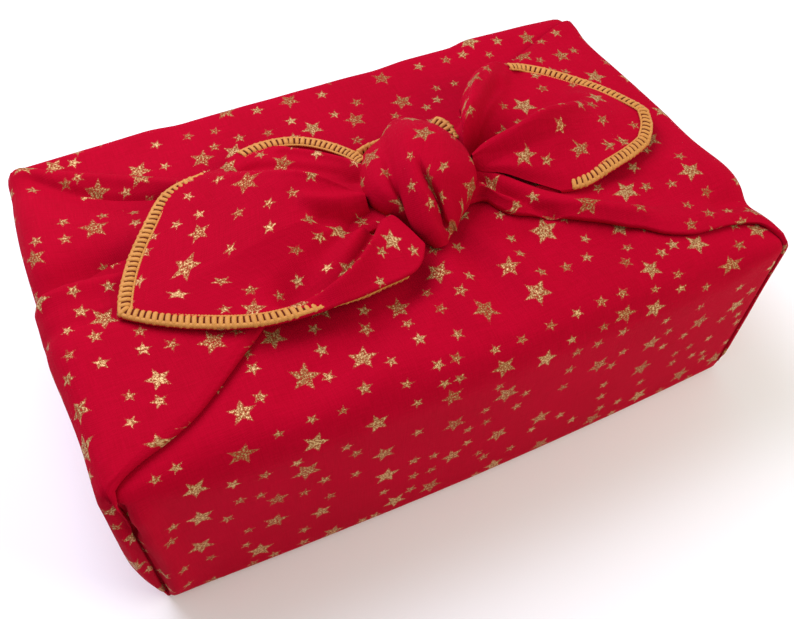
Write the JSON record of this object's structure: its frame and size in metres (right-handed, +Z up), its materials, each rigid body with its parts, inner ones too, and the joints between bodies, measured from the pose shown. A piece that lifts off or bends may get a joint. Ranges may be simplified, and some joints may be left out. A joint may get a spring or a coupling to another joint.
{
  "type": "furoshiki wrap",
  "caption": "Square cotton wrapping cloth folded round a box-shaped parcel and knotted on top, with two leaf-shaped tied ends.",
  "frame": {"origin": "middle of the flat underside, on the surface that the wrap stands on", "axes": "+X along the parcel's long side, towards the smaller tied end; +Y from the front to the back; +Z up, through the knot"},
  "size_m": [0.2535, 0.1551, 0.1038],
  "materials": {
    "printed_cotton": "plain-weave crimson cotton, matt, printed with scattered metallic gold stars",
    "gold_thread": "satin gold overlock thread"
  },
  "bodies": {
    "root": {"cloth": "printed_cotton", "edging_left": "gold_thread", "edging_left_back": "gold_thread", "edging_right": "gold_thread"}
  },
  "joints": []
}
